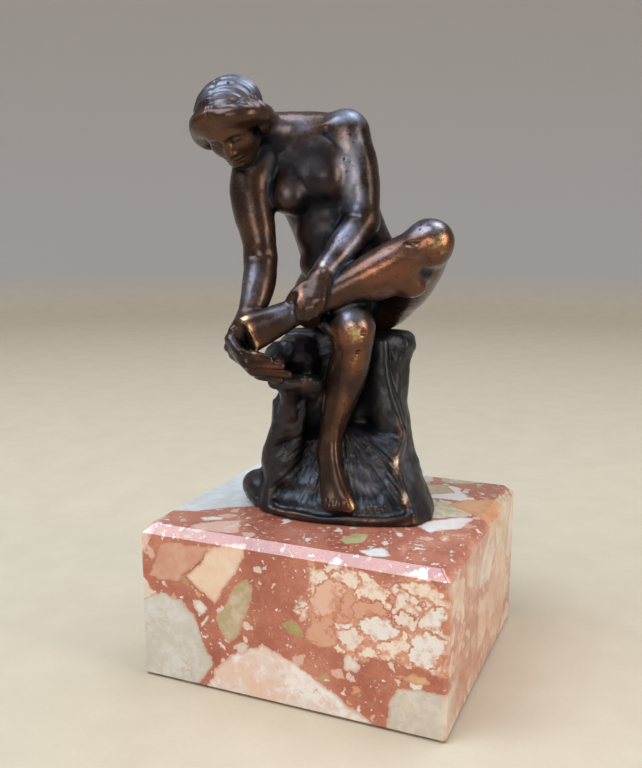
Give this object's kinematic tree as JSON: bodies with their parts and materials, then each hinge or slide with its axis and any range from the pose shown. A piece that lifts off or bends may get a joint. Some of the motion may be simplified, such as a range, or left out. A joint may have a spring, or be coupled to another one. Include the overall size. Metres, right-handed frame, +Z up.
{
  "type": "statuette",
  "caption": "Small patinated bronze of a seated bather with one ankle crossed over the other knee, on a rock, fixed to a polished marble block with a chamfered top.",
  "frame": {"origin": "centre of the resting face, at the underside of the felt, on the surface the block stands on", "axes": "+Z up, +X to the right along the front face of the block, +Y to the back of the block"},
  "size_m": [0.08, 0.072, 0.1493],
  "materials": {
    "marble": "polished red breccia with cream, white and grey pieces",
    "rock_bronze": "dark brown patina over bronze, rubbed bright on the edges",
    "figure_bronze": "dark brown patina over bronze, worn to warm copper and gold on the high places",
    "raw_bronze": "bare turned bronze",
    "zinc_steel": "zinc plated",
    "felt": "dark green wool felt"
  },
  "bodies": {
    "root": {"marble_base": "marble", "rock_casting": "rock_bronze", "figure_casting": "figure_bronze", "seat_pin": "raw_bronze", "fixing_stud": "zinc_steel", "anti_turn_pin": "zinc_steel", "flat_washer": "zinc_steel", "spring_washer": "zinc_steel", "hex_nut": "zinc_steel", "felt_pad": "felt"}
  },
  "joints": []
}
